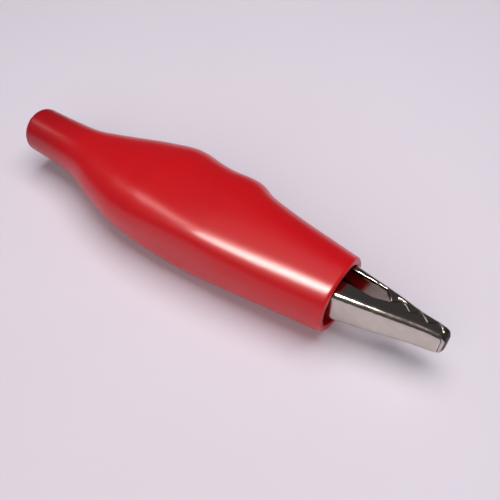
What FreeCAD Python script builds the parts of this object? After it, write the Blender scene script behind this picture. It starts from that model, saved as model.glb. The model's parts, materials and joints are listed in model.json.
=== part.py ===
"""Insulated crocodile clip: a soft boot over a pair of toothed steel jaws.

Inside each body x runs from the cable end (0) to the nose, y from the moving jaw (-)
to the fixed jaw (+), and z from the middle plane of the clip. The bodies are then
placed so that the clip lies on its side, with the origin under its middle.
"""
import FreeCAD, Part
import math
import os

import Sketcher

Vector = FreeCAD.Vector

doc = FreeCAD.newDocument("crocodile_clip")
sheet = doc.addObject("Spreadsheet::Sheet", "sizes")

# Driving sizes in millimetres. Along the clip they are measured from the cable end.
SIZES = {
    "overall_length": 55.0,
    "boot_length": 44.0,
    "boot_wall": 0.75,
    "cable_bore": 2.25,
    "sheet_metal": 0.5,
    "bend_outside": 0.75,
    "nose_half_width": 1.8,
    "nose_round": 1.0,
    "ear_half_width": 3.1,
    "ear_gap": 0.1,
    "ear_outline": 2.4,
    "pivot_along": 31.0,
    "pivot_across": 0.6,
    "rivet_shank": 1.1,
    "rivet_running_gap": 0.04,
    "rivet_head": 1.75,
    "rivet_crown": 1.2,
    "rivet_head_height": 0.5,
    "rivet_rim": 0.2,
    "rivet_head_gap": 0.04,
    "rivet_room": 0.31,
    "teeth_line": 1.25,
    "teeth_length": 6.25,
    "tooth_pitch": 1.9,
    "tooth_depth": 0.7,
    "jaw_gap": 0.08,
    "window_start": 6.0,
    "window_far_end": 1.05,
    "window_near_end": 1.75,
    "window_far_edge": 2.0,
    "window_far_wall": 0.65,
    "window_near_edge": 0.3,
    "window_near_wall": 1.45,
    "flange_height": 1.35,
    "flange_flat": 1.4,
    "moving_lever_tail": 1.7,
    "moving_lever_curl": 0.45,
    "strap_run": 3.4,
    "strap_half_width": 1.7,
    "strap_slant": 1.2,
    "strap_lap": 0.4,
    "strap_bend_along": 0.9,
    "strap_bend_down": 0.5,
    "barrel_length": 6.8,
    "barrel_outside": 1.9,
    "barrel_bore": 1.4,
    "screw_inset": 2.0,
    "screw_shank": 1.2,
    "screw_thread_gap": 0.04,
    "screw_travel": 1.0,
    "screw_head": 1.6,
    "screw_head_height": 0.95,
    "screw_tip": 0.2,
    "screw_slot_width": 0.45,
    "screw_slot_depth": 0.45,
    "spring_wire": 0.7,
    "spring_play": 0.1,
    "spring_side_gap": 0.2,
    "spring_turn_gap": 0.06,
    "spring_leg_reach": 8.0,
    "mouth_margin": 0.3,
    "cut_margin": 1.0,
    "reach": 10.0,
}

# Places along the clip that lie a fixed way behind (-) or in front of the pivot.
FROM_PIVOT = {"lever_crest": -10.8, "scallop": -6.6, "ear_crest": -2.6, "shoulder": 1.0}
for name, distance in FROM_PIVOT.items():
    SIZES[name + "_from_pivot"] = distance

# The clip's back along its length: name, fixed jaw's back, moving jaw's back, and the
# half width of the fixed jaw there.
BACKS = [
    ("lever_crest", 7.0, 5.6, 2.7),
    ("scallop", 5.95, 5.5, 3.0),
    ("ear_crest", 6.45, 5.3, 3.1),
    ("shoulder", 5.05, 4.85, 3.1),
    ("throat_back", 4.15, 3.35, 2.9),
    ("neck", 3.6, 2.45, 2.25),
    ("mouth_back", 3.05, 1.7, 1.8),
    ("nose_middle", 2.45, 0.7, 1.8),
    ("nose_tip", 1.85, -0.33, 1.8),
]
for name, fixed_back, moving_back, half_width in BACKS:
    SIZES[name + "_fixed"] = fixed_back
    SIZES[name + "_moving"] = moving_back
    SIZES[name + "_half_width"] = half_width

# Room between the clip's back and the inside of the boot: name, fixed side, moving
# side, what the boot loses in half thickness, and half the flat of its sides.
BOOT_ROOM = [
    ("lever_crest", 0.3, 0.3, 0.1, 1.3),
    ("scallop", 0.35, 0.3, 0.0, 1.4),
    ("ear_crest", 0.35, 0.35, 0.0, 1.4),
    ("shoulder", 0.35, 0.4, 0.05, 1.35),
    ("throat_back", 0.35, 1.2, 0.2, 1.2),
    ("neck", 0.35, 1.5, 0.35, 0.75),
    ("mouth_back", 0.4, 1.65, 0.5, 0.4),
]
for name, fixed_room, moving_room, thinner, flat in BOOT_ROOM:
    SIZES[name + "_fixed_room"] = fixed_room
    SIZES[name + "_moving_room"] = moving_room
    SIZES[name + "_thinner"] = thinner
    SIZES[name + "_flat"] = flat

# The tail swells from the cable's bore: name, place, what it adds on the fixed side, on
# the moving side and in half thickness, and half the flat of its sides.
BOOT_TAIL = [
    ("tail_end", 0.0, 0.0, 0.0, 0.0, 0.2),
    ("tail_tube", 5.0, 0.15, 0.0, 0.0, 0.25),
    ("cone_start", 8.5, 0.5, 0.25, 0.15, 0.25),
    ("cone_low", 12.0, 1.8, 1.35, 0.65, 0.45),
    ("cone_high", 16.0, 3.4, 2.75, 1.2, 0.9),
]
for name, along, fixed_swell, moving_swell, side_swell, flat in BOOT_TAIL:
    SIZES[name + "_along"] = along
    SIZES[name + "_fixed_swell"] = fixed_swell
    SIZES[name + "_moving_swell"] = moving_swell
    SIZES[name + "_side_swell"] = side_swell
    SIZES[name + "_flat"] = flat

for row, (alias, value) in enumerate(SIZES.items(), start=1):
    sheet.set(f"A{row}", alias)
    sheet.set(f"B{row}", str(value))
    sheet.setAlias(f"B{row}", alias)
doc.recompute()

PLACES = {name: f"(sizes.pivot_along + sizes.{name}_from_pivot)" for name in FROM_PIVOT}
PLACES["throat_back"] = f"((2 * {PLACES['shoulder']} + sizes.boot_length) / 3)"
PLACES["neck"] = f"(({PLACES['shoulder']} + 2 * sizes.boot_length) / 3)"
PLACES["mouth_back"] = "sizes.boot_length"
PLACES["nose_middle"] = "((sizes.boot_length + sizes.overall_length) / 2)"
PLACES["nose_tip"] = "sizes.overall_length"
CREST = PLACES["lever_crest"]
SCALLOP = PLACES["scallop"]
FIRST_TOOTH = "(sizes.overall_length - sizes.teeth_length)"
WINDOW_START = "(sizes.pivot_along + sizes.window_start)"
WINDOW_FAR_END = f"({FIRST_TOOTH} - sizes.window_far_end)"
WINDOW_NEAR_END = f"({FIRST_TOOTH} - sizes.window_near_end)"
BARREL_END = f"({CREST} - sizes.strap_run)"
BARREL_START = f"({BARREL_END} - sizes.barrel_length)"
SCREW = f"({BARREL_END} - sizes.screw_inset)"
RIVET_FACE = "(sizes.ear_half_width + sizes.rivet_head_gap)"
RIVET_TOP = f"({RIVET_FACE} + sizes.rivet_head_height)"
MOVING_HALF = "(sizes.ear_half_width - sizes.sheet_metal - sizes.ear_gap)"


BOOT_HALF_THICKNESS = f"({RIVET_TOP} + sizes.rivet_room + sizes.boot_wall)"
ACROSS = "((sizes.lever_crest_moving - sizes.lever_crest_fixed) / 2)"


def number(expression):
    """The value of an expression on the sheet, in millimetres."""
    return float(sheet.evalExpression(expression))


def new_body(name):
    """A body placed so that the clip lies on its side over the origin."""
    body = doc.addObject("PartDesign::Body", name)
    body.Label = name
    body.setExpression("Placement.Base.x", "-sizes.overall_length / 2")
    body.setExpression("Placement.Base.y", ACROSS)
    body.setExpression("Placement.Base.z", BOOT_HALF_THICKNESS)
    return body


def new_sketch(body, name, role, offset=None):
    """An empty sketch on one of the body's own planes, moved along its normal."""
    sketch = body.newObject("Sketcher::SketchObject", name)
    plane = next(f for f in body.Origin.OriginFeatures if f.Role == role)
    sketch.AttachmentSupport = [(plane, "")]
    sketch.MapMode = "FlatFace"
    if offset is not None:
        sketch.setExpression("AttachmentOffset.Base.z", offset)
    return sketch


def bind(sketch, constraint, expression):
    """Add one driving constraint and bind its value to the sheet."""
    index = sketch.addConstraint(constraint)
    sketch.setExpression(f"Constraints[{index}]", expression)


def place_point(sketch, geometry, end, across, up):
    """Hold one end of a line at a place given by two expressions."""
    bind(sketch, Sketcher.Constraint("DistanceX", -1, 1, geometry, end, number(across)), across)
    bind(sketch, Sketcher.Constraint("DistanceY", -1, 1, geometry, end, number(up)), up)


def polygon(sketch, corners):
    """A closed outline of straight lines through corners given as expressions."""
    points = [Vector(number(a), number(b), 0) for a, b in corners]
    count = len(points)
    for i in range(count):
        sketch.addGeometry(Part.LineSegment(points[i], points[(i + 1) % count]), False)
    for i in range(count):
        sketch.addConstraint(Sketcher.Constraint("Coincident", i, 2, (i + 1) % count, 1))
    for i, (across, up) in enumerate(corners):
        place_point(sketch, i, 1, across, up)


def circle(sketch, across, up, radius):
    """A circle with its centre and radius given as expressions."""
    centre = Vector(number(across), number(up), 0)
    index = sketch.addGeometry(Part.Circle(centre, Vector(0, 0, 1), number(radius)), False)
    place_point(sketch, index, 3, across, up)
    bind(sketch, Sketcher.Constraint("Radius", index, number(radius)), radius)


def rounded_box(sketch, left, right, half_height, radius):
    """A rectangle with four round corners, level about the middle plane."""
    x0, x1 = number(left), number(right)
    h, r = number(half_height), number(radius)
    corners = [(x1 - r, -h + r, -90), (x1 - r, h - r, 0), (x0 + r, h - r, 90), (x0 + r, -h + r, 180)]
    for cx, cy, start in corners:
        arc = Part.Circle(Vector(cx, cy, 0), Vector(0, 0, 1), r)
        sketch.addGeometry(Part.ArcOfCircle(arc, math.radians(start), math.radians(start + 90)), False)
    sides = [((x1, -h + r), (x1, h - r)), ((x1 - r, h), (x0 + r, h)),
             ((x0, h - r), (x0, -h + r)), ((x0 + r, -h), (x1 - r, -h))]
    for start, end in sides:
        sketch.addGeometry(Part.LineSegment(Vector(*start, 0), Vector(*end, 0)), False)
    for i in range(4):
        sketch.addConstraint(Sketcher.Constraint("Tangent", i, 2, 4 + i, 1))
        sketch.addConstraint(Sketcher.Constraint("Tangent", 4 + i, 2, (i + 1) % 4, 1))
    sketch.addConstraint(Sketcher.Constraint("Vertical", 4))
    sketch.addConstraint(Sketcher.Constraint("Horizontal", 5))
    sketch.addConstraint(Sketcher.Constraint("Vertical", 6))
    sketch.addConstraint(Sketcher.Constraint("Horizontal", 7))
    for i in range(1, 4):
        sketch.addConstraint(Sketcher.Constraint("Equal", 0, i))
    bind(sketch, Sketcher.Constraint("Radius", 0, r), radius)
    bind(sketch, Sketcher.Constraint("DistanceX", -1, 1, 4, 1, x1), right)
    bind(sketch, Sketcher.Constraint("DistanceX", -1, 1, 6, 1, x0), left)
    bind(sketch, Sketcher.Constraint("DistanceY", -1, 1, 5, 1, h), half_height)
    bind(sketch, Sketcher.Constraint("DistanceY", -1, 1, 7, 1, -h), f"-({half_height})")


def channel_section(sketch, back, edge, half_width, bend):
    """The outline of a folded channel: two bends at its back, square at its open edge."""
    y_back, y_edge = number(back), number(edge)
    b, r = number(half_width), number(bend)
    side = 1 if y_back > y_edge else -1
    turn = y_back - side * r
    upper = Part.Circle(Vector(turn, b - r, 0), Vector(0, 0, 1), r)
    lower = Part.Circle(Vector(turn, -b + r, 0), Vector(0, 0, 1), r)
    if side > 0:
        arcs = [(upper, 0, 90), (lower, 270, 360)]
        ends = {"upper_back": 1, "upper_wall": 2, "lower_wall": 1, "lower_back": 2}
    else:
        arcs = [(upper, 90, 180), (lower, 180, 270)]
        ends = {"upper_back": 2, "upper_wall": 1, "lower_wall": 2, "lower_back": 1}
    for arc, start, end in arcs:
        sketch.addGeometry(Part.ArcOfCircle(arc, math.radians(start), math.radians(end)), False)
    lines = [((y_back, -b + r), (y_back, b - r)), ((turn, b), (y_edge, b)),
             ((y_edge, b), (y_edge, -b)), ((y_edge, -b), (turn, -b))]
    for start, end in lines:
        sketch.addGeometry(Part.LineSegment(Vector(*start, 0), Vector(*end, 0)), False)
    sketch.addConstraint(Sketcher.Constraint("Tangent", 2, 2, 0, ends["upper_back"]))
    sketch.addConstraint(Sketcher.Constraint("Tangent", 0, ends["upper_wall"], 3, 1))
    sketch.addConstraint(Sketcher.Constraint("Coincident", 3, 2, 4, 1))
    sketch.addConstraint(Sketcher.Constraint("Coincident", 4, 2, 5, 1))
    sketch.addConstraint(Sketcher.Constraint("Tangent", 5, 2, 1, ends["lower_wall"]))
    sketch.addConstraint(Sketcher.Constraint("Tangent", 1, ends["lower_back"], 2, 1))
    sketch.addConstraint(Sketcher.Constraint("Vertical", 2))
    sketch.addConstraint(Sketcher.Constraint("Horizontal", 3))
    sketch.addConstraint(Sketcher.Constraint("Vertical", 4))
    sketch.addConstraint(Sketcher.Constraint("Horizontal", 5))
    sketch.addConstraint(Sketcher.Constraint("Equal", 0, 1))
    bind(sketch, Sketcher.Constraint("Radius", 0, r), bend)
    bind(sketch, Sketcher.Constraint("DistanceX", -1, 1, 2, 1, y_back), back)
    bind(sketch, Sketcher.Constraint("DistanceX", -1, 1, 4, 1, y_edge), edge)
    bind(sketch, Sketcher.Constraint("DistanceY", -1, 1, 3, 2, b), half_width)
    bind(sketch, Sketcher.Constraint("DistanceY", -1, 1, 5, 1, -b), f"-({half_width})")


def loft(body, kind, name, sketches):
    """A smooth loft through sections, added to the body or taken out of it."""
    feature = body.newObject("PartDesign::" + kind, name)
    feature.Profile = sketches[0]
    feature.Sections = sketches[1:]
    feature.Ruled = False
    return feature


def extrude(body, kind, name, sketch, length=None, reverse=False):
    """A pad or pocket: both ways to a total length, or through all where none is given."""
    feature = body.newObject("PartDesign::" + kind, name)
    feature.Profile = sketch
    feature.Midplane = True
    if length is None:
        feature.Type = "ThroughAll"
    else:
        feature.Type = "Length"
        feature.setExpression("Length", length)
    feature.Reversed = reverse
    return feature


def one_way(body, kind, name, sketch, length, reverse=False):
    """A pad or pocket from the sketch's plane to one side only."""
    feature = extrude(body, kind, name, sketch, length, reverse)
    feature.Midplane = False
    return feature


def corner_cut(sketch, across, up, radius, right, top):
    """The waste outside a round corner that points right or left, and up or down."""
    px, py, r = number(across), number(up), number(radius)
    sx, sy = (1 if right else -1), (1 if top else -1)
    cx, cy = px - sx * r, py - sy * r
    beyond = number("sizes.cut_margin")
    first = len(sketch.Geometry)
    start = {(1, 1): 0, (-1, 1): 90, (-1, -1): 180, (1, -1): 270}[(sx, sy)]
    arc = Part.Circle(Vector(cx, cy, 0), Vector(0, 0, 1), r)
    sketch.addGeometry(Part.ArcOfCircle(arc, math.radians(start), math.radians(start + 90)), False)
    side_end, top_end = (1, 2) if sx * sy > 0 else (2, 1)
    far_x, far_y = px + sx * beyond, py + sy * beyond
    points = [(px, cy), (far_x, cy), (far_x, far_y), (cx, far_y), (cx, py)]
    for begin, end in zip(points, points[1:]):
        sketch.addGeometry(Part.LineSegment(Vector(*begin, 0), Vector(*end, 0)), False)
    sketch.addConstraint(Sketcher.Constraint("Coincident", first, side_end, first + 1, 1))
    for i in range(1, 4):
        sketch.addConstraint(Sketcher.Constraint("Coincident", first + i, 2, first + i + 1, 1))
    sketch.addConstraint(Sketcher.Constraint("Coincident", first + 4, 2, first, top_end))
    for i, kind in enumerate(("Horizontal", "Vertical", "Horizontal", "Vertical"), start=1):
        sketch.addConstraint(Sketcher.Constraint(kind, first + i))
    sketch.addConstraint(Sketcher.Constraint("Horizontal", first, side_end, first, 3))
    sketch.addConstraint(Sketcher.Constraint("Vertical", first, top_end, first, 3))
    bind(sketch, Sketcher.Constraint("Radius", first, r), radius)
    outward = "+" if right else "-"
    upward = "+" if top else "-"
    place_point(sketch, first, 3, f"{across} {'-' if right else '+'} {radius}",
                f"{up} {'-' if top else '+'} {radius}")
    place_point(sketch, first + 2, 2, f"{across} {outward} sizes.cut_margin",
                f"{up} {upward} sizes.cut_margin")


def round_nose(body, side, outward):
    """Round the nose seen from its back, then the corner between its back and front."""
    plan = new_sketch(body, side + "_nose_plan", "XZ_Plane")
    corner_cut(plan, "sizes.overall_length", "sizes.nose_half_width", "sizes.nose_round", True, True)
    corner_cut(plan, "sizes.overall_length", "-sizes.nose_half_width", "sizes.nose_round", True, False)
    extrude(body, "Pocket", side + "_nose_corners", plan)
    profile = new_sketch(body, side + "_nose_profile", "XY_Plane")
    corner_cut(profile, "sizes.overall_length", f"{outward}sizes.nose_tip_{side}", "sizes.sheet_metal",
               True, outward == "+")
    return extrude(body, "Pocket", side + "_nose_front", profile)


def teeth_corners(shift):
    """The zigzag between the jaws from the nose back to the first tooth."""
    count = math.floor(number("2 * sizes.teeth_length / sizes.tooth_pitch")) + 1
    corners = []
    for k in range(count, -1, -1):
        sign = "-" if k % 2 == 0 else "+"
        along = f"{FIRST_TOOTH} + {k} * sizes.tooth_pitch / 2"
        corners.append((along, f"sizes.teeth_line {sign} sizes.tooth_depth / 2 {shift}"))
    return corners


def nose_back(side, along):
    """How far out a jaw's back lies at a place on the bare nose, from mouth to tip."""
    share = f"({along} - sizes.boot_length) / (sizes.overall_length - sizes.boot_length)"
    return f"(sizes.mouth_back_{side} + (sizes.nose_tip_{side} - sizes.mouth_back_{side}) * {share})"


def halfway(stations):
    """Put a section between each two, on the smooth curve through their neighbours."""
    last = len(stations) - 1
    denser = []
    for i in range(last):
        before, left = stations[max(i - 1, 0)], stations[i]
        right, after = stations[i + 1], stations[min(i + 2, last)]
        middle = [f"(({left[0]}) + ({right[0]})) / 2"]
        for a, b, c, d in zip(before[1:], left[1:], right[1:], after[1:]):
            middle.append(f"(9 * (({b}) + ({c})) - ({a}) - ({d})) / 16")
        denser += [left, middle]
    return denser + [stations[last]]


def jaw_channel(body, side, outward, stations, edge):
    """The folded channel of one jaw: an outer loft less an inner loft.

    Each station is its place, the distance of the back, and the half width. The back
    lies on the outward side, + or -, and the edge is where the open side ends.
    """
    skins = [("AdditiveLoft", "outer", "0"), ("SubtractiveLoft", "core", "sizes.sheet_metal")]
    for kind, skin, inset in skins:
        core = skin == "core"
        placed = [list(station) for station in stations]
        if core:
            placed[0][0] += " - sizes.cut_margin"
            placed[-1][0] += " - sizes.sheet_metal"
        open_edge = f"{edge} - {outward}sizes.cut_margin" if core else edge
        sketches = []
        for index, (along, back, half_width) in enumerate(halfway(placed)):
            sketch = new_sketch(body, f"{side}_{skin}_{index}", "YZ_Plane", along)
            channel_section(sketch, f"{outward}({back} - {inset})", open_edge,
                            f"{half_width} - {inset}", f"sizes.bend_outside - {inset}")
            sketches.append(sketch)
        loft(body, kind, f"{side}_{skin}", sketches)
    return round_nose(body, side, outward)


def ears(body, side, half_width, hole):
    """Round ears about the pivot on both walls, with the hole for the rivet."""
    disc = new_sketch(body, side + "_ear_outline", "XY_Plane")
    circle(disc, "sizes.pivot_along", "sizes.pivot_across", "sizes.ear_outline")
    extrude(body, "Pad", side + "_ear_discs", disc, f"2 * ({half_width})")
    space = new_sketch(body, side + "_ear_space_outline", "XY_Plane")
    circle(space, "sizes.pivot_along", "sizes.pivot_across", "sizes.ear_outline + sizes.ear_gap")
    extrude(body, "Pocket", side + "_ear_space", space, f"2 * ({half_width} - sizes.sheet_metal)")
    bore = new_sketch(body, side + "_pivot_outline", "XY_Plane")
    circle(bore, "sizes.pivot_along", "sizes.pivot_across", hole)
    return extrude(body, "Pocket", side + "_pivot_hole", bore)


# Fixed jaw: nose, ears, thumb scallop and lever crest, then the strap and the barrel.
FIXED_STATIONS = [(PLACES[name], f"sizes.{name}_fixed", f"sizes.{name}_half_width")
                  for name, *rest in BACKS]
PIVOT_FRONT = ("sizes.pivot_along + sizes.ear_outline", "sizes.pivot_across")
PIVOT_REAR = ("sizes.pivot_along - sizes.ear_outline", "sizes.pivot_across")
TIP_BEYOND = "sizes.overall_length + sizes.cut_margin"
LEVER_BEYOND = f"{CREST} - sizes.moving_lever_tail - sizes.cut_margin"

fixed_jaw = new_body("fixed_jaw")
jaw_channel(fixed_jaw, "fixed", "+", FIXED_STATIONS, "sizes.pivot_across - sizes.cut_margin")
edge = new_sketch(fixed_jaw, "fixed_wall_edge", "XY_Plane")
polygon(edge, teeth_corners("+ sizes.jaw_gap / 2") + [
    (WINDOW_FAR_END, f"{nose_back('fixed', WINDOW_FAR_END)} - sizes.window_far_wall"),
    (WINDOW_START, "sizes.window_far_edge"),
    PIVOT_FRONT,
    PIVOT_REAR,
    (f"{SCALLOP} + sizes.flange_flat", "sizes.scallop_fixed - sizes.flange_height"),
    (f"{SCALLOP} - sizes.flange_flat", "sizes.scallop_fixed - sizes.flange_height"),
    (LEVER_BEYOND, "sizes.lever_crest_fixed - sizes.flange_height"),
    (LEVER_BEYOND, "-sizes.reach"),
    (TIP_BEYOND, "-sizes.reach"),
    (TIP_BEYOND, "sizes.teeth_line"),
])
extrude(fixed_jaw, "Pocket", "fixed_wall_cut", edge)
ears(fixed_jaw, "fixed", "sizes.ear_half_width", "sizes.rivet_shank")

STRAP_TOP = "sizes.lever_crest_fixed"
STRAP_THICKNESS = "sizes.strap_slant * sizes.sheet_metal"
STRAP_BEND = f"{CREST} - sizes.strap_bend_along"
strap = new_sketch(fixed_jaw, "strap_outline", "XY_Plane")
polygon(strap, [
    (f"{CREST} + sizes.strap_lap", f"{STRAP_TOP} - sizes.sheet_metal / 2"),
    (CREST, STRAP_TOP),
    (STRAP_BEND, f"{STRAP_TOP} - sizes.strap_bend_down"),
    (f"{BARREL_END} - {STRAP_THICKNESS}", "sizes.barrel_outside"),
    (f"{BARREL_END} - {STRAP_THICKNESS}", "sizes.barrel_bore"),
    (BARREL_END, "sizes.barrel_bore"),
    (f"{STRAP_BEND} + {STRAP_THICKNESS} / 2",
     f"{STRAP_TOP} - sizes.strap_bend_down - sizes.sheet_metal"),
    (f"{CREST} + sizes.strap_lap", f"{STRAP_TOP} - sizes.sheet_metal"),
])
extrude(fixed_jaw, "Pad", "strap", strap, "2 * sizes.strap_half_width")
tube = new_sketch(fixed_jaw, "barrel_outline", "YZ_Plane", BARREL_START)
circle(tube, "0", "0", "sizes.barrel_outside")
one_way(fixed_jaw, "Pad", "barrel", tube, "sizes.barrel_length")
bore = new_sketch(fixed_jaw, "barrel_bore_outline", "YZ_Plane", f"{BARREL_START} - sizes.cut_margin")
circle(bore, "0", "0", "sizes.barrel_bore")
one_way(fixed_jaw, "Pocket", "barrel_hole", bore, "sizes.barrel_length + 2 * sizes.cut_margin", True)
tap = new_sketch(fixed_jaw, "screw_hole_outline", "XZ_Plane")
circle(tap, SCREW, "0", "sizes.screw_shank + sizes.screw_thread_gap")
one_way(fixed_jaw, "Pocket", "screw_hole", tap, "sizes.barrel_outside + sizes.cut_margin", True)

# Moving jaw: nested between the ears of the fixed jaw.
moving_jaw = new_body("moving_jaw")
NARROWER = ("(sizes.{0}_half_width - sizes.nose_half_width) * (sizes.sheet_metal + sizes.ear_gap)"
            " / (sizes.ear_half_width - sizes.nose_half_width)")
MOVING_LEVER_END = f"{CREST} - sizes.moving_lever_tail"
MOVING_STATIONS = [(MOVING_LEVER_END, "sizes.lever_crest_moving - sizes.moving_lever_curl", MOVING_HALF)]
MOVING_STATIONS += [(PLACES[name], f"sizes.{name}_moving",
                     f"sizes.{name}_half_width - {NARROWER.format(name)}") for name, *rest in BACKS]
jaw_channel(moving_jaw, "moving", "-", MOVING_STATIONS, "sizes.teeth_line + sizes.cut_margin")
edge = new_sketch(moving_jaw, "moving_wall_edge", "XY_Plane")
polygon(edge, teeth_corners("- sizes.jaw_gap / 2") + [
    (WINDOW_NEAR_END, f"sizes.window_near_wall - {nose_back('moving', WINDOW_NEAR_END)}"),
    (WINDOW_START, "sizes.window_near_edge"),
    PIVOT_FRONT,
    PIVOT_REAR,
    (f"{SCALLOP} + sizes.flange_flat", "-sizes.scallop_moving + sizes.flange_height"),
    (LEVER_BEYOND, "-sizes.lever_crest_moving + sizes.flange_height"),
    (LEVER_BEYOND, "sizes.reach"),
    (TIP_BEYOND, "sizes.reach"),
    (TIP_BEYOND, "sizes.teeth_line"),
])
extrude(moving_jaw, "Pocket", "moving_wall_cut", edge)
ears(moving_jaw, "moving", MOVING_HALF, "sizes.rivet_shank + sizes.rivet_running_gap")

# Insulating boot: outer loft less inner loft, with the bore that grips the cable.
boot = new_body("insulating_boot")
TAIL_STATIONS = [(f"sizes.{name}_along",
                  f"sizes.cable_bore + sizes.{name}_moving_swell + sizes.boot_wall",
                  f"sizes.cable_bore + sizes.{name}_fixed_swell + sizes.boot_wall",
                  f"sizes.cable_bore + sizes.{name}_side_swell + sizes.boot_wall",
                  f"sizes.{name}_flat") for name, *rest in BOOT_TAIL]
HOLD_STATIONS = [(PLACES[name],
                  f"sizes.{name}_moving + sizes.{name}_moving_room + sizes.boot_wall",
                  f"sizes.{name}_fixed + sizes.{name}_fixed_room + sizes.boot_wall",
                  f"{BOOT_HALF_THICKNESS} - sizes.{name}_thinner",
                  f"sizes.{name}_flat") for name, *rest in BOOT_ROOM]


def boot_loft(kind, name, stations, inset):
    """One skin of the boot, set in from the outside by an inset."""
    sketches = []
    for index, (along, moving, fixed, half, flat) in enumerate(halfway(stations)):
        sketch = new_sketch(boot, f"{name}_{index}", "YZ_Plane", along)
        rounded_box(sketch, f"-({moving} - {inset})", f"{fixed} - {inset}",
                    f"{half} - {inset}", f"{half} - {flat} - {inset}")
        sketches.append(sketch)
    return loft(boot, kind, name, sketches)


OUTER_STATIONS = TAIL_STATIONS + HOLD_STATIONS
PAST_MOUTH = ("sizes.boot_length + sizes.mouth_margin",) + HOLD_STATIONS[-1][1:]
INNER_STATIONS = TAIL_STATIONS[2:] + HOLD_STATIONS[:-1] + [PAST_MOUTH]
boot_loft("AdditiveLoft", "boot_outside", OUTER_STATIONS, "0")
boot_loft("SubtractiveLoft", "boot_inside", INNER_STATIONS, "sizes.boot_wall")
bore = new_sketch(boot, "cable_bore_outline", "YZ_Plane", "-sizes.cut_margin")
circle(bore, "0", "0", "sizes.cable_bore")
one_way(boot, "Pocket", "cable_hole", bore, "sizes.cone_start_along + 2 * sizes.cut_margin", True)

# Rivet: a shank through both pairs of ears with a domed head at each end.
rivet = new_body("pivot_rivet")
profile = new_sketch(rivet, "rivet_profile", "XZ_Plane")
AXIS = "sizes.pivot_along"
polygon(profile, [
    (AXIS, f"-{RIVET_TOP}"),
    (f"{AXIS} + sizes.rivet_crown", f"-{RIVET_TOP}"),
    (f"{AXIS} + sizes.rivet_head", f"-({RIVET_FACE} + sizes.rivet_rim)"),
    (f"{AXIS} + sizes.rivet_head", f"-{RIVET_FACE}"),
    (f"{AXIS} + sizes.rivet_shank", f"-{RIVET_FACE}"),
    (f"{AXIS} + sizes.rivet_shank", RIVET_FACE),
    (f"{AXIS} + sizes.rivet_head", RIVET_FACE),
    (f"{AXIS} + sizes.rivet_head", f"{RIVET_FACE} + sizes.rivet_rim"),
    (f"{AXIS} + sizes.rivet_crown", RIVET_TOP),
    (AXIS, RIVET_TOP),
])
profile.setExpression("AttachmentOffset.Base.z", "-sizes.pivot_across")
turned = rivet.newObject("PartDesign::Revolution", "rivet_turned")
turned.Profile = profile
turned.ReferenceAxis = (profile, ["Edge10"])
turned.Angle = 360

# Terminal screw: a cheese head with a slot, its tip level with the wall of the bore.
screw = new_body("terminal_screw")
profile = new_sketch(screw, "screw_profile", "XY_Plane")
HEAD_UNDER = "-(sizes.barrel_outside + sizes.screw_travel)"
HEAD_TOP = "-(sizes.barrel_outside + sizes.screw_travel + sizes.screw_head_height)"
polygon(profile, [
    (SCREW, HEAD_TOP),
    (f"{SCREW} + sizes.screw_head", HEAD_TOP),
    (f"{SCREW} + sizes.screw_head", HEAD_UNDER),
    (f"{SCREW} + sizes.screw_shank", HEAD_UNDER),
    (f"{SCREW} + sizes.screw_shank", "-sizes.barrel_bore - sizes.screw_tip"),
    (f"{SCREW} + sizes.screw_shank - sizes.screw_tip", "-sizes.barrel_bore"),
    (SCREW, "-sizes.barrel_bore"),
])
turned = screw.newObject("PartDesign::Revolution", "screw_turned")
turned.Profile = profile
turned.ReferenceAxis = (profile, ["Edge7"])
turned.Angle = 360
slot = new_sketch(screw, "screw_slot_outline", "XY_Plane")
SLOT_LEFT = f"{SCREW} - sizes.screw_head - sizes.cut_margin"
SLOT_RIGHT = f"{SCREW} + sizes.screw_head + sizes.cut_margin"
SLOT_ABOVE = f"{HEAD_TOP} - sizes.cut_margin"
SLOT_FLOOR = f"{HEAD_TOP} + sizes.screw_slot_depth"
polygon(slot, [
    (SLOT_LEFT, SLOT_ABOVE),
    (SLOT_RIGHT, SLOT_ABOVE),
    (SLOT_RIGHT, SLOT_FLOOR),
    (SLOT_LEFT, SLOT_FLOOR),
])
extrude(screw, "Pocket", "screw_slot", slot, "sizes.screw_slot_width")

# Torsion spring: a close coil round the rivet and a leg under each lever.
COIL_RADIUS = "(sizes.rivet_shank + sizes.spring_play + sizes.spring_wire / 2)"
COIL_PITCH = "(sizes.spring_wire + sizes.spring_turn_gap)"
coil_radius, coil_pitch = number(COIL_RADIUS), number(COIL_PITCH)
wire = number("sizes.spring_wire")
pivot = Vector(number("sizes.pivot_along"), number("sizes.pivot_across"), 0)
leg_x = number("sizes.pivot_along - sizes.spring_leg_reach")
inside = number("sizes.sheet_metal + sizes.spring_wire / 2 + sizes.spring_play")
leg_ends = [Vector(leg_x, number("sizes.scallop_fixed") - inside, 0),
            Vector(leg_x, inside - number("sizes.scallop_moving"), 0)]


def tangent_point(target, side):
    """Where a line from the target touches the coil's middle circle."""
    to_pivot = target - pivot
    swing = math.acos(coil_radius / to_pivot.Length)
    angle = math.atan2(to_pivot.y, to_pivot.x) + side * swing
    return angle, pivot + Vector(math.cos(angle), math.sin(angle), 0) * coil_radius


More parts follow.
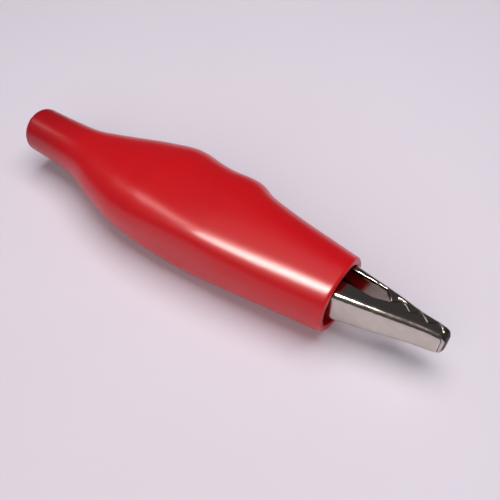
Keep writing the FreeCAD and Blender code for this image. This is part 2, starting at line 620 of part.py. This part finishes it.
far_angle, far_touch = tangent_point(leg_ends[0], 1)
near_angle, near_touch = tangent_point(leg_ends[1], -1)
part_turn = ((near_angle - far_angle) / (2 * math.pi)) % 1
room = 2 * number(f"{MOVING_HALF} - sizes.sheet_metal - sizes.spring_side_gap") - wire
turns = math.floor(room / coil_pitch - part_turn) + part_turn
coil_height = turns * coil_pitch
helix = Part.makeHelix(coil_pitch, coil_height, coil_radius)
helix.rotate(Vector(0, 0, 0), Vector(0, 0, 1), math.degrees(far_angle))
helix.translate(pivot + Vector(0, 0, -coil_height / 2))
start = helix.Edges[0].valueAt(helix.Edges[0].FirstParameter)
heading = helix.Edges[0].tangentAt(helix.Edges[0].FirstParameter)
section = Part.Wire(Part.makeCircle(wire / 2, start, heading))
coil = Part.Wire(helix.Edges).makePipeShell([section], True, True)
solids = [coil]
legs = [(far_touch, leg_ends[0], -coil_height / 2), (near_touch, leg_ends[1], coil_height / 2)]
for touch, target, z in legs:
    run = target - touch
    lap = run * (number("sizes.spring_play") / run.Length)
    foot = touch - lap + Vector(0, 0, z)
    solids.append(Part.makeCylinder(wire / 2, (run + lap).Length, foot, run))
spring_shape = solids[0].fuse(solids[1:])
spring = doc.addObject("Part::Feature", "jaw_spring")
spring.Label = "jaw_spring"
spring.Shape = spring_shape
spring.Placement = fixed_jaw.Placement

doc.recompute()
spring.Placement = fixed_jaw.Placement

pieces = [fixed_jaw, moving_jaw, boot, rivet, screw, spring]
for item in doc.Objects:
    if "Invalid" in item.State or "Error" in item.State:
        raise RuntimeError(f"{item.Name} failed: {item.State}")
for piece in pieces:
    if piece.Shape.isNull() or not piece.Shape.isValid():
        raise RuntimeError(piece.Label + " has no valid shape")

os.makedirs("parts", exist_ok=True)
for piece in pieces:
    shape = piece.Shape
    shape.exportStep(f"parts/{piece.Label}.step")
    box = shape.BoundBox
    print(f"{piece.Label}: {len(shape.Solids)} solid, {shape.Volume:.2f} mm3, "
          f"x {box.XMin:.2f} {box.XMax:.2f}, y {box.YMin:.2f} {box.YMax:.2f}, "
          f"z {box.ZMin:.2f} {box.ZMax:.2f}")
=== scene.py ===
# %% [markdown]
# # Dressing an insulated crocodile clip
# The clip is a small test-lead end: two pressed jaws on one rivet, a torsion spring that keeps them shut,
# a screw that holds the wire, and a soft red boot pulled over all of it. The solids come packed from CAD
# and stay where they are. This lesson gives them their looks, and remakes those that CAD leaves plain.
# It starts by loading the imported model, because every later piece takes its place from it. The box that
# the model fills is measured here.

# %% Load the imported clip
import json
import math

import bmesh
import bpy
from mathutils import Matrix, Quaternion, Vector


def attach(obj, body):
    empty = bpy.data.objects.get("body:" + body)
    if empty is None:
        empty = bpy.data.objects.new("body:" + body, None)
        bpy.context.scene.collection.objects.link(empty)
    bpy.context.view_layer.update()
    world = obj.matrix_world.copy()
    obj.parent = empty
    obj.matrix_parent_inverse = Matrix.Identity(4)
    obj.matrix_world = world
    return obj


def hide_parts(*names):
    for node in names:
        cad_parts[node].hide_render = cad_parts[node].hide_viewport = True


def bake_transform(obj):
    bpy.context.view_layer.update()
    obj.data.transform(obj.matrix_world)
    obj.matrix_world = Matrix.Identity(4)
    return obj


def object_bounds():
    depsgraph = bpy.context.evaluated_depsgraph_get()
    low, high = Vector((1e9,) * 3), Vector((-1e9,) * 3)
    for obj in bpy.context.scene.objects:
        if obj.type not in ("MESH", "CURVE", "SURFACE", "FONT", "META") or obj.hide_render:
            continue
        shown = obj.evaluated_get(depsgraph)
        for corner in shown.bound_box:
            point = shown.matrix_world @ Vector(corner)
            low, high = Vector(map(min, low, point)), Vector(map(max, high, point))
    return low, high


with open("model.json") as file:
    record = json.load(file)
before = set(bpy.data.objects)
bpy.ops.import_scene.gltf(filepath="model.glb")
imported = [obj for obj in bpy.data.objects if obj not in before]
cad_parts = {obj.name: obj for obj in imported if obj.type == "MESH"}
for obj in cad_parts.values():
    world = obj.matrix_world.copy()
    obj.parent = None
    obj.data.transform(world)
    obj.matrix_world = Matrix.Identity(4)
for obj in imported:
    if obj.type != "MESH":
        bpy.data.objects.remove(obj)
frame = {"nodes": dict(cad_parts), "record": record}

MM = 0.001
cad_low, cad_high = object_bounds()
print("CAD box in mm:", [round(side / MM, 2) for side in cad_high - cad_low])

# %% [markdown]
# ## Where the lead goes
# Every form of the clip is laid out about the line of the lead, which enters at the tail and ends at the
# teeth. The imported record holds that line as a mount, so it is read from there and not typed again.

# %% The lead's line
mounts = {mount["name"]: mount for mount in frame["record"]["mounts"]}
TAIL_END = Vector(mounts["cable_entry"]["pos_m"])
print("tail end in mm:", [round(value / MM, 2) for value in TAIL_END])


def on_clip(along, toward_fixed_jaw, up=0.0):
    """A point measured in mm from the middle of the tail's end."""
    return TAIL_END + Vector((along, toward_fixed_jaw, up)) * MM


# %% [markdown]
# ## Two helpers for finishes
# A finish is a chain of nodes, and writing each node in full hides what the finish does. One function
# adds a node with its settings and its sockets filled or linked. The other turns the hex colour that
# a paint chart or a picture gives into the linear light that a shader needs.

# %% Colour and node helpers
def linear(hex_colour):
    """An sRGB hex colour as linear RGBA."""
    parts = [int(hex_colour[i:i + 2], 16) / 255 for i in (1, 3, 5)]
    return [p / 12.92 if p <= 0.04045 else ((p + 0.055) / 1.055) ** 2.4 for p in parts] + [1.0]


def add_node(finish, kind, sockets=None, **settings):
    """Adds one node to a finish, sets it up, and fills or links its input sockets."""
    node = finish.node_tree.nodes.new(kind)
    for name, value in settings.items():
        setattr(node, name, value)
    for socket, value in (sockets or {}).items():
        if isinstance(value, bpy.types.NodeSocket):
            finish.node_tree.links.new(value, node.inputs[socket])
        else:
            node.inputs[socket].default_value = value
    return node


def new_finish(name):
    """An empty node material and its output node."""
    finish = bpy.data.materials.new(name)
    finish.use_nodes = True
    finish.node_tree.nodes.clear()
    return finish, add_node(finish, "ShaderNodeOutputMaterial")


def scale_of(size_mm):
    """The scale that gives a noise on Object coordinates features of this size."""
    return 1 / (size_mm * MM)


# %% [markdown]
# ## The boot's red
# The boot is soft PVC with the pigment right through, so its colour changes only slightly, in broad
# clouds. Towards the tail the red is darkened as painted shade, where the light falls off. Both could be
# painted by hand, but a noise and a soft ramp along the clip say the same and never stretch.

# %% Pigment of the boot
# The tail's red is painted shade: the boot is darker towards the tail end, where the light falls off.
MOULDED_RED, CLOUD_RED, TAIL_SHADE_RED = "#C20C16", "#C90E18", "#9C0812"
CLOUD_SIZE = 7.0
TAIL_SHADE_STARTS, TAIL_SHADE_SHARE = 11.5, 0.85

moulded_pvc, pvc_out = new_finish("moulded_red_pvc")
at = add_node(moulded_pvc, "ShaderNodeTexCoord")
clouds = add_node(moulded_pvc, "ShaderNodeTexNoise",
                  {"Vector": at.outputs["Object"], "Scale": scale_of(CLOUD_SIZE), "Detail": 0.0})
lengthways = add_node(moulded_pvc, "ShaderNodeSeparateXYZ", {"Vector": at.outputs["Object"]})
tail_shade_share = add_node(moulded_pvc, "ShaderNodeMapRange",
                      {"Value": lengthways.outputs["X"], "From Min": on_clip(TAIL_SHADE_STARTS, 0).x,
                       "From Max": TAIL_END.x, "To Min": 0.0, "To Max": TAIL_SHADE_SHARE},
                      interpolation_type="SMOOTHSTEP")
body_red = add_node(moulded_pvc, "ShaderNodeMix",
                    {0: clouds.outputs["Fac"], 6: linear(MOULDED_RED), 7: linear(CLOUD_RED)},
                    data_type="RGBA")
# This mix lays the painted tail shade over the boot's red.
pvc_red_and_shade = add_node(moulded_pvc, "ShaderNodeMix",
                   {0: tail_shade_share.outputs["Result"], 6: body_red.outputs[2], 7: linear(TAIL_SHADE_RED)},
                   data_type="RGBA")
print("the tail's red starts at", TAIL_SHADE_STARTS, "mm")

# %% [markdown]
# ## The boot's skin
# PVC is moulded glossy on a polished core. The eye reads it by one long soft streak with a slightly
# uneven edge. A moulded skin isn't a mirror: a fine orange peel and slow ripples break up the
# reflection, so the finish has both as bump, a few hundredths of a millimetre deep, and its
# roughness wanders with the ripples.
#
# The roughness stays above 0.275 all over. Below that the denoiser takes a finish for a mirror, and
# where the two kinds meet it would leave thin rings.

# %% Moulded skin of the boot
PEEL_SIZE, PEEL_DEPTH = 0.45, 0.02
RIPPLE_SIZE, RIPPLE_DEPTH = 3.2, 0.03
SKIN_BUMP = 0.2
GLOSSIEST, DULLEST = 0.276, 0.29
PVC_IOR = 1.53

peel = add_node(moulded_pvc, "ShaderNodeTexNoise",
                {"Vector": at.outputs["Object"], "Scale": scale_of(PEEL_SIZE), "Detail": 2.0})
ripple = add_node(moulded_pvc, "ShaderNodeTexNoise",
                  {"Vector": at.outputs["Object"], "Scale": scale_of(RIPPLE_SIZE), "Detail": 0.0})
peel_bump = add_node(moulded_pvc, "ShaderNodeBump",
                     {"Height": peel.outputs["Fac"], "Strength": SKIN_BUMP, "Distance": PEEL_DEPTH * MM})
skin_bump = add_node(moulded_pvc, "ShaderNodeBump",
                     {"Height": ripple.outputs["Fac"], "Normal": peel_bump.outputs["Normal"],
                      "Strength": SKIN_BUMP, "Distance": RIPPLE_DEPTH * MM})
gloss = add_node(moulded_pvc, "ShaderNodeMapRange",
                 {"Value": ripple.outputs["Fac"], "From Min": 0.3, "From Max": 0.7,
                  "To Min": GLOSSIEST, "To Max": DULLEST})
skin = add_node(moulded_pvc, "ShaderNodeBsdfPrincipled",
                {"Base Color": pvc_red_and_shade.outputs[2], "Roughness": gloss.outputs["Result"], "IOR": PVC_IOR,
                 "Normal": skin_bump.outputs["Normal"], "Subsurface Weight": 0.06,
                 "Subsurface Radius": (1.0, 0.2, 0.12), "Subsurface Scale": 0.8 * MM})
moulded_pvc.node_tree.links.new(skin.outputs["BSDF"], pvc_out.inputs["Surface"])
print("finish:", moulded_pvc.name, "nodes", len(moulded_pvc.node_tree.nodes))

# %% [markdown]
# ## The metals
# The jaws are thin steel, pressed, bent and then bright nickel plated in a barrel. Plating follows the
# lines that the rolling mill left along the sheet, so the reflection is crisp with faint streaks along
# the jaw, and a tumbled part has fine scuffs. The same recipe makes the other metals: only the tint, the
# roughness and how deep the lines are change, so one function makes them all.

# %% Plated, drawn and turned metal
def metal_finish(name, tint, scuffed_tint, roughness, line_length, line_width, line_depth):
    """A metal whose working lines run along X, with lengths and widths in mm."""
    finish, out = new_finish(name)
    at = add_node(finish, "ShaderNodeTexCoord")
    stretch = add_node(finish, "ShaderNodeMapping",
                       {"Vector": at.outputs["Object"],
                        "Scale": (scale_of(line_length), scale_of(line_width), scale_of(line_width))})
    lines = add_node(finish, "ShaderNodeTexNoise", {"Vector": stretch.outputs["Vector"], "Scale": 1.0})
    scuffs = add_node(finish, "ShaderNodeTexNoise",
                      {"Vector": at.outputs["Object"], "Scale": scale_of(0.8), "Detail": 4.0})
    tint_mix = add_node(finish, "ShaderNodeMix",
                        {0: scuffs.outputs["Fac"], 6: linear(tint), 7: linear(scuffed_tint)},
                        data_type="RGBA")
    dullness = add_node(finish, "ShaderNodeMapRange",
                        {"Value": scuffs.outputs["Fac"], "From Min": 0.3, "From Max": 0.75,
                         "To Min": roughness, "To Max": roughness * 1.7})
    line_bump = add_node(finish, "ShaderNodeBump",
                         {"Height": lines.outputs["Fac"], "Strength": 0.4, "Distance": line_depth * MM})
    metal = add_node(finish, "ShaderNodeBsdfPrincipled",
                     {"Base Color": tint_mix.outputs[2], "Metallic": 1.0,
                      "Roughness": dullness.outputs["Result"], "Normal": line_bump.outputs["Normal"]})
    finish.node_tree.links.new(metal.outputs["BSDF"], out.inputs["Surface"])
    return finish


print("one recipe makes every metal of the clip")

# %% The clip's five metals
# Bright nickel over rolled sheet: a warm mirror with faint streaks along the jaw.
nickel = metal_finish("barrel_plated_nickel", "#CFC8BE", "#BDB5AB", 0.13, 2.5, 0.12, 0.002)
# A rivet headed by a punch and then plated: softer, with no grain.
rivet_metal = metal_finish("plated_rivet_steel", "#C2BDB6", "#A9A39B", 0.22, 0.3, 0.3, 0.006)
# Spring wire drawn through a die: grey and satin.
music_wire = metal_finish("drawn_music_wire", "#9C9A98", "#7F7C7A", 0.26, 0.2, 0.2, 0.004)
# Brass turned on a lathe: yellow, with fine rings round the screw.
screw_brass = metal_finish("turned_brass", "#C9A55B", "#B08E4A", 0.2, 0.08, 0.4, 0.008)
# Steel cut by shears after it was plated: torn, dull and dark; the dark is partly painted shade, for the
# hollow of the nose's open end.
sheared_steel_and_shade = metal_finish("sheared_steel_and_painted_shade", "#57524E", "#3D3937", 0.34, 0.1, 0.1, 0.008)
print("metals:", [m.name for m in (nickel, rivet_metal, music_wire, screw_brass, sheared_steel_and_shade)])


# %% [markdown]
# ## Making a finished piece
# Every piece that this lesson makes ends the same way: its bmesh becomes an object at the origin, it
# gets its finish, and it stands for the plain solid that it covers. The pressed copies also ride on a body of
# the mechanism.

# %% From bmesh to piece
def make_piece(name, bm, finish, node):
    """Turns a bmesh into a piece that stands for a CAD node."""
    mesh = bpy.data.meshes.new(name)
    bm.to_mesh(mesh)
    bm.free()
    mesh.materials.append(finish)
    piece = bpy.data.objects.new(name, mesh)
    bpy.context.scene.collection.objects.link(piece)
    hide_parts(node)
    print(name, "has", len(mesh.polygons), "faces")
    return piece


# %% [markdown]
# ## The boot's stations
# The real boot is moulded over a core, so its form is a row of sections that flow into each other: a
# round tail for the lead, a cone, a flat-sided belly that clears the levers, a waist over the rivet
# ears, and a mouth that is wider than the nose. The plan view is lopsided, because only the fixed
# jaw's back has two humps. A short table of stations with a smooth curve through each column keeps
# that readable, where a modelled cage would hide it.

# %% Station table
# Each row, in mm: distance from the tail's end, reach towards the fixed jaw, reach towards the moving
# jaw, half the thickness, and the power of the oval on each side (2 is an ellipse, more is squarer).
BOOT_STATIONS = (
    (0.0, 2.78, 2.70, 2.80, 2.0, 2.0),
    (5.0, 3.02, 2.88, 2.90, 2.0, 2.0),
    (8.5, 3.29, 3.40, 3.15, 2.1, 2.0),
    (12.0, 4.45, 4.62, 3.65, 2.2, 2.05),
    (16.0, 5.88, 5.78, 4.20, 2.4, 2.1),
    (18.2, 6.60, 6.12, 4.41, 2.5, 2.2),
    (20.4, 7.15, 6.22, 4.62, 2.6, 2.35),
    (22.2, 7.08, 6.20, 4.66, 2.7, 2.5),
    (24.4, 6.60, 6.12, 4.70, 2.8, 2.7),
    (26.4, 6.48, 5.98, 4.70, 2.8, 2.85),
    (28.6, 6.72, 5.82, 4.70, 2.8, 2.85),
    (30.2, 6.62, 5.72, 4.69, 2.7, 2.65),
    (32.0, 5.76, 5.60, 4.66, 2.6, 2.45),
    (36.0, 5.02, 5.20, 4.52, 2.4, 2.25),
    (40.0, 4.50, 4.70, 4.36, 2.3, 2.15),
    (44.0, 4.00, 4.20, 4.20, 2.2, 2.1),
)
BOOT_LENGTH = BOOT_STATIONS[-1][0]


def smooth_value(stations, column, along):
    """The value of one column on a smooth curve through a table of stations."""
    places = [row[0] for row in stations]
    values = [row[column] for row in stations]
    last = len(places) - 1
    along = min(max(along, places[0]), places[last])
    i = max(k for k in range(last) if places[k] <= along or k == 0)

    def slope(k):
        before, after = max(0, k - 1), min(last, k + 1)
        return (values[after] - values[before]) / (places[after] - places[before])

    gap = places[i + 1] - places[i]
    t = (along - places[i]) / gap
    return ((1 + 2 * t) * (1 - t) ** 2 * values[i] + t * (1 - t) ** 2 * gap * slope(i)
            + t * t * (3 - 2 * t) * values[i + 1] + t * t * (t - 1) * gap * slope(i + 1))


widest = max(smooth_value(BOOT_STATIONS, 1, quarter / 4) for quarter in range(int(4 * BOOT_LENGTH)))
print("widest reach in mm:", round(widest, 2))


# %% [markdown]
# ## The boot
# It starts as a plain tube, the blank. Cuts along its length give it a ring every half millimetre,
# and each ring is then pressed into the oval of its station. The wall is grown inwards from that skin,
# as in the mould, so it is 0.75 mm everywhere. Last come the four rim edges: the outer ones are rounded
# most, because the real ones look worn soft there.

# %% Press the blank into shape
BLANK_SIDES = 72
RINGS = 88
WALL = 0.75


def oval(angle, reach, half, power):
    """A point of the oval section at an angle, in mm."""
    across, up = math.cos(angle), math.sin(angle)
    return (math.copysign(abs(across) ** (2 / power) * reach, across),
            math.copysign(abs(up) ** (2 / power) * half, up))


boot_mesh = bmesh.new()
laid_along_x = Matrix.Translation((BOOT_LENGTH / 2, 0, 0)) @ Matrix.Rotation(math.radians(90), 4, "Y")
bmesh.ops.create_cone(boot_mesh, segments=BLANK_SIDES, radius1=1, radius2=1, depth=BOOT_LENGTH,
                      matrix=laid_along_x)
lengthwise = [e for e in boot_mesh.edges if abs(e.verts[0].co.x - e.verts[1].co.x) > 1]
bmesh.ops.subdivide_edges(boot_mesh, edges=lengthwise, cuts=RINGS - 1, use_grid_fill=True)
for vert in boot_mesh.verts:
    s = min(max(vert.co.x, 0.0), BOOT_LENGTH)
    angle = math.atan2(vert.co.z, vert.co.y)
    columns = (1, 3, 4) if vert.co.y > 0 else (2, 3, 5)
    reach, half, power = (smooth_value(BOOT_STATIONS, column, s) for column in columns)
    across, up = oval(angle, reach, half, power)
    vert.co = on_clip(s, across, up)
bmesh.ops.recalc_face_normals(boot_mesh, faces=boot_mesh.faces)
print("rings of the boot:", len(boot_mesh.verts) // BLANK_SIDES)

# %% Grow the wall and soften the rims
TAIL_EDGE = 0.5
MOUTH_EDGE = 0.32
INNER_EDGE = 0.08

bmesh.ops.solidify(boot_mesh, geom=boot_mesh.faces[:], thickness=WALL * MM)
boot_mesh.normal_update()
rim = [e for e in boot_mesh.edges if e.is_manifold and e.calc_face_angle() > math.radians(50)]


def off_the_line(edge):
    """How far an edge is from the lead's line."""
    middle = (edge.verts[0].co + edge.verts[1].co) / 2 - TAIL_END
    return math.hypot(middle.y, middle.z)


tail_rim = [e for e in rim if e.verts[0].co.x < 0]
mouth_rim = [e for e in rim if e.verts[0].co.x > 0]
for edges, outer_edge in ((tail_rim, TAIL_EDGE), (mouth_rim, MOUTH_EDGE)):
    mid_wall = sum(off_the_line(e) for e in edges) / len(edges)
    outside = [e for e in edges if off_the_line(e) > mid_wall]
    inside = [e for e in edges if off_the_line(e) <= mid_wall]
    for ring, width in ((outside, outer_edge), (inside, INNER_EDGE)):
        bmesh.ops.bevel(boot_mesh, geom=[e for e in ring if e.is_valid], offset=width * MM, segments=4,
                        profile=0.5, affect="EDGES", material=-1)
bmesh.ops.recalc_face_normals(boot_mesh, faces=boot_mesh.faces)
print("rim edges:", len(tail_rim), "at the tail and", len(mouth_rim), "at the mouth")

boot = make_piece("boot", boot_mesh, moulded_pvc, "insulating_boot")
for face in boot.data.polygons:
    face.use_smooth = True
smoother = boot.modifiers.new("soft skin", "SUBSURF")
smoother.levels = smoother.render_levels = 1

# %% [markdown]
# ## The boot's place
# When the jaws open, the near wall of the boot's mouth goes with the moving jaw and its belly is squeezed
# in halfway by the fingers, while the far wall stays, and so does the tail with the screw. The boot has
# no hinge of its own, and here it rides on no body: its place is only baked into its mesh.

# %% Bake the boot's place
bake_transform(boot)

# %% [markdown]
# ## The jaws
# Each jaw is one blank of half-millimetre steel, pressed to a channel with teeth along its two
# edges. CAD has their exact shape, so a copy of its mesh is taken instead of a new model. What CAD
# lacks is the soft edge that pressing and barrel tumbling leave, and it is that edge that glints. The copy is
# cleaned to whole faces first, because a bevel needs real edges and not the loose triangles of an export.
#
# The solids leave the levers up to a millimetre more room than this boot does, and their nose is
# equally wide along its length. So the copies are pressed as in a shaping die: in towards the lead's line
# under the boot, and to a nose that is wide at the mouth and narrow at the tip. Points near the teeth
# line stay, and the press grows from there to the back.

# %% Shaping die
# Each row, in mm from the tail's end: how far the fixed jaw's back is pressed in, how far the moving
# jaw's is, how much it is stretched away from the teeth, and the share of the width that is left.
DIE_STATIONS = (
    (16.8, 0.0, 0.0, 1.0, 1.0),
    (18.5, 0.75, 0.55, 1.0, 0.88),
    (20.3, 1.02, 0.62, 1.0, 0.82),
    (24.4, 0.80, 0.66, 1.0, 0.85),
    (28.2, 1.00, 0.66, 1.0, 0.85),
    (31.0, 0.85, 0.62, 1.0, 0.85),
    (34.0, 0.62, 0.35, 1.0, 0.85),
    (38.0, 0.40, 0.0, 1.0, 0.95),
    (41.0, 0.20, 0.0, 1.06, 1.08),
    (44.0, 0.0, 0.0, 1.12, 1.22),
    (48.0, 0.0, 0.0, 1.08, 1.12),
    (52.0, 0.0, 0.0, 1.02, 0.96),
    (53.0, 0.0, 0.0, 1.0, 0.92),
    (53.8, 0.0, 0.0, 1.0, 0.86),
    (54.3, 0.0, 0.0, 1.0, 0.82),
    (55.0, 0.0, 0.0, 1.0, 0.66),
)
BACK_STARTS, BACK_FULL = 2.5, 4.0
TEETH_LINE = 1.25


def press_in(point):
    """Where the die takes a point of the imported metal."""
    along, across, up = (point - TAIL_END) / MM
    fixed_depth, moving_depth, stretch, width = (smooth_value(DIE_STATIONS, column, along)
                                                 for column in (1, 2, 3, 4))
    if across < TEETH_LINE:
        across = TEETH_LINE + (across - TEETH_LINE) * stretch
    share = min(max((abs(across) - BACK_STARTS) / (BACK_FULL - BACK_STARTS), 0), 1)
    depth = (fixed_depth if across > 0 else moving_depth) * share * share * (3 - 2 * share)
    return on_clip(along, across - math.copysign(depth, across), up * width)


print("a lever's top moves in by", round(smooth_value(DIE_STATIONS, 1, 20.3), 2), "mm")

# %% [markdown]
# ## Rounding and pressing
# Rounding comes before the die, while the sheet's faces are still flat and its edges easy to tell by
# their angle. A flat face has no points in its middle to press, so planes across the clip cut it into
# short strips first: one each half millimetre, and closer at the tip, where the nose turns fast.

# %% Round the edges and work the die
SAME_PLACE = 1e-7
FLAT_WITHIN, SHARP_FROM = 0.3, 32
DIE_STEP, TIP_STARTS, TIP_STEP = 0.5, 53.9, 0.1


def round_sharp_edges(bm, edge):
    """Merges the loose triangles into flat faces and bevels what is sharp; the edge is in mm."""
    bmesh.ops.dissolve_limit(bm, angle_limit=math.radians(FLAT_WITHIN), verts=bm.verts, edges=bm.edges)
    sharp = [e for e in bm.edges if e.is_manifold and e.calc_face_angle() > math.radians(SHARP_FROM)]
    bmesh.ops.bevel(bm, geom=sharp, offset=edge * MM, segments=2, profile=0.5,
                    affect="EDGES", material=-1, clamp_overlap=False)
    print("edges rounded:", len(sharp))


def work_die(bm):
    """Cuts a mesh into strips across the clip and presses every point in."""
    bmesh.ops.triangulate(bm, faces=bm.faces)
    along = DIE_STATIONS[0][0]
    while along < DIE_STATIONS[-1][0]:
        bmesh.ops.bisect_plane(bm, geom=bm.verts[:] + bm.edges[:] + bm.faces[:], dist=SAME_PLACE,
                               plane_co=on_clip(along, 0), plane_no=(1, 0, 0))
        along += DIE_STEP if along < TIP_STARTS else TIP_STEP
    for vert in bm.verts:
        vert.co = press_in(vert.co)
    bm.normal_update()


# %% [markdown]
# ## The end of the nose
# The blank is sheared off at the tip after it was plated, so the end of the nose is bare steel, duller
# and darker than the rest. That dark finish is also painted shade, for the dark hollow of a channel whose
# end is open. The faces that look forward there get it as a second finish. Their lower part
# was wiped bright by the shear, so it keeps the plating.

# %% Copies of the metal parts
TUMBLED_EDGE = 0.08
SMOOTH_BELOW = 40
DARK_END_FROM, DARK_END_ABOVE, DARK_END_FACING = 54.0, -0.75, 0.55


def is_sheared_and_shaded(face):
    """Whether a face of the mesh is part of the cut end of the nose, painted dark as bare steel and as shade.
    """
    along, across, up = (face.calc_center_median() - TAIL_END) / MM
    return along > DARK_END_FROM and up > DARK_END_ABOVE and face.normal.x > DARK_END_FACING


def pressed_copy(node, name, finish, body, edge=0):
    """A copy of a CAD node, rounded and pressed, riding on its body."""
    bm = bmesh.new()
    bm.from_mesh(frame["nodes"][node].data)
    bmesh.ops.remove_doubles(bm, verts=bm.verts, dist=SAME_PLACE)
    if edge > 0:
        round_sharp_edges(bm, edge)
    work_die(bm)
    # Forward faces at the tip take the dark end finish: bare sheared steel and painted shade for the nose's
    # hollow.
    dark_end_faces = [face for face in bm.faces if is_sheared_and_shaded(face)]
    for face in dark_end_faces:
        face.material_index = 1
    piece = make_piece(name, bm, finish, node)
    if dark_end_faces:
        piece.data.materials.append(sheared_steel_and_shade)
    piece.data.shade_smooth()
    piece.data.set_sharp_from_angle(angle=math.radians(SMOOTH_BELOW))
    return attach(piece, body)


pressed_copy("fixed_jaw", "fixed_jaw_plated", nickel, "root", TUMBLED_EDGE)
pressed_copy("moving_jaw", "moving_jaw_plated", nickel, "moving_jaw", TUMBLED_EDGE)

# %% [markdown]
# ## Spring and rivet
# The spring's legs lie against the levers and the rivet's heads against the ears, so both go through
# the same die. Drawn wire and a headed rivet have round edges already.

# %% Press the spring and the rivet
pressed_copy("jaw_spring", "jaw_spring_wire", music_wire, "root")
pressed_copy("pivot_rivet", "pivot_rivet_headed", rivet_metal, "root")

# %% [markdown]
# ## The screw
# The screw sits deep in the boot and CAD has it in full, so its own node stays and only takes a finish.

# %% Finish the screw
screw = frame["nodes"]["terminal_screw"]
if not screw.material_slots:
    screw.data.materials.append(screw_brass)
for place in screw.material_slots:
    place.material = screw_brass
print(screw.name, "takes", screw_brass.name)

# %% [markdown]
# ## The cloth that it lies on
# The floor is plain, pale and matt, with a hint of lilac that wanders slightly, so that it doesn't look
# like a printed card. It isn't part of the clip, so it is staged.

# %% Floor
FLOOR_SIZE, TINT_SIZE = 600.0, 25.0
floor_bm = bmesh.new()
bmesh.ops.create_grid(floor_bm, x_segments=4, y_segments=4, size=FLOOR_SIZE / 2 * MM)
floor_mesh = bpy.data.meshes.new("floor")
floor_bm.to_mesh(floor_mesh)
floor_bm.free()
floor = bpy.data.objects.new("floor", floor_mesh)
bpy.context.scene.collection.objects.link(floor)
floor.location = (0, 0, cad_low.z)
matt_cloth, cloth_out = new_finish("matt_pale_cloth")
cloth_at = add_node(matt_cloth, "ShaderNodeTexCoord")
tint_noise = add_node(matt_cloth, "ShaderNodeTexNoise",
                      {"Vector": cloth_at.outputs["Object"], "Scale": scale_of(TINT_SIZE), "Detail": 2.0})
cloth_tint = add_node(matt_cloth, "ShaderNodeMix",
                      {0: tint_noise.outputs["Fac"], 6: linear("#DDD8E0"), 7: linear("#E1DCE4")},
                      data_type="RGBA")
cloth = add_node(matt_cloth, "ShaderNodeBsdfPrincipled",
                 {"Base Color": cloth_tint.outputs[2], "Roughness": 0.95, "Specular IOR Level": 0.1})
matt_cloth.node_tree.links.new(cloth.outputs["BSDF"], cloth_out.inputs["Surface"])
floor_mesh.materials.append(matt_cloth)
print("floor at z", round(floor.location.z / MM, 3), "mm")

# %% [markdown]
# ## Light
# A big soft light overhead gives the short soft shadow under the near edge, and a wide one on the near
# side fills it. The long streak along the boot is a reflection, and a reflection is only as wide as its
# light, so two slim strips draw it: a bright one over the nose and a faint one over the tail, each
# leaning up towards its end of the clip. They add nothing but the streak, and the two soft lights stay out
# of reflections, as with a polariser. The jaws' sides mirror the room above and look nearly black, so
# the room is dim.

# %% A lamp that faces the clip
LIT_HEIGHT = 5.0


def area_lamp(name, toward, distance, size, watts, tint, lean=0.0):
    """A rectangular lamp in a direction from the clip, its long side along the clip.

    The lean, in degrees, turns the lamp in its own plane: it lifts the end on the side of the teeth.
    """
    data = bpy.data.lights.new(name, "AREA")
    data.shape = "RECTANGLE"
    data.size, data.size_y = (side * MM for side in size)
    data.energy = watts
    data.color = linear(tint)[:3]
    lamp = bpy.data.objects.new(name, data)
    bpy.context.scene.collection.objects.link(lamp)
    back = Vector(toward).normalized()
    lamp.location = Vector((0, 0, LIT_HEIGHT * MM)) + back * distance * MM
    level_axis = (Vector((1, 0, 0)) - back * back.x).normalized()
    side_axis = Quaternion(back, math.radians(lean)) @ level_axis
    lamp.rotation_mode = "QUATERNION"
    turned = Matrix((side_axis, back.cross(side_axis), back)).transposed()
    lamp.rotation_quaternion = turned.to_quaternion()
    print(name, "at", [round(value / MM) for value in lamp.location], "mm")
    return lamp


# %% Lamps and world
ROOM_TINT, ROOM_STRENGTH = "#D8D2DC", 0.09

overhead = area_lamp("overhead", (0.06, 0.12, 0.98), 200, (200, 170), 0.40, "#FFFBFE")
fill = area_lamp("near_fill", (0.2, -0.8, 0.56), 400, (400, 300), 0.66, "#FFF9FC")
overhead.visible_glossy = fill.visible_glossy = False
nose_strip = area_lamp("nose_strip", (-0.04, -0.62, 0.78), 240, (120, 44), 0.80, "#FFF6F0", lean=48)
tail_strip = area_lamp("tail_strip", (-0.55, -0.40, 0.75), 240, (110, 40), 0.10, "#FFF6F0", lean=-30)
nose_strip.visible_diffuse = tail_strip.visible_diffuse = False
world = bpy.data.worlds.new("dim_room")
bpy.context.scene.world = world
world.use_nodes = True
room = world.node_tree.nodes["Background"]
room.inputs["Color"].default_value = linear(ROOM_TINT)
room.inputs["Strength"].default_value = ROOM_STRENGTH

# %% [markdown]
# ## Camera
# The photograph looks down at 50 degrees from the moving jaw's side, close enough for perspective to
# swell the near end. Its lens and distance were worked out from the clip's outline.

# %% Camera
AZIMUTH, ELEVATION, ROLL = 34.94, 50.0, 1.1
DISTANCE = 74.3
AIM = Vector((3.22, 1.92, 0.0)) * MM
SENSOR, LENS = 36.0, 45.86

camera_data = bpy.data.cameras.new("photo_camera")
camera_data.sensor_width = SENSOR
camera_data.lens = LENS
camera_data.clip_start, camera_data.clip_end = 0.001, 10.0
camera = bpy.data.objects.new("photo_camera", camera_data)
bpy.context.scene.collection.objects.link(camera)
turn, tilt = math.radians(AZIMUTH), math.radians(ELEVATION)
back = Vector((math.sin(turn) * math.cos(tilt), -math.cos(turn) * math.cos(tilt), math.sin(tilt)))
camera.location = AIM + back * DISTANCE * MM
camera.rotation_mode = "QUATERNION"
level = (-back).to_track_quat("-Z", "Y")
camera.rotation_quaternion = level @ Quaternion((0, 0, 1), math.radians(ROLL))
bpy.context.scene.camera = camera
bpy.context.scene.view_settings.view_transform = "Standard"
print("camera at", [round(v / MM, 1) for v in camera.location])
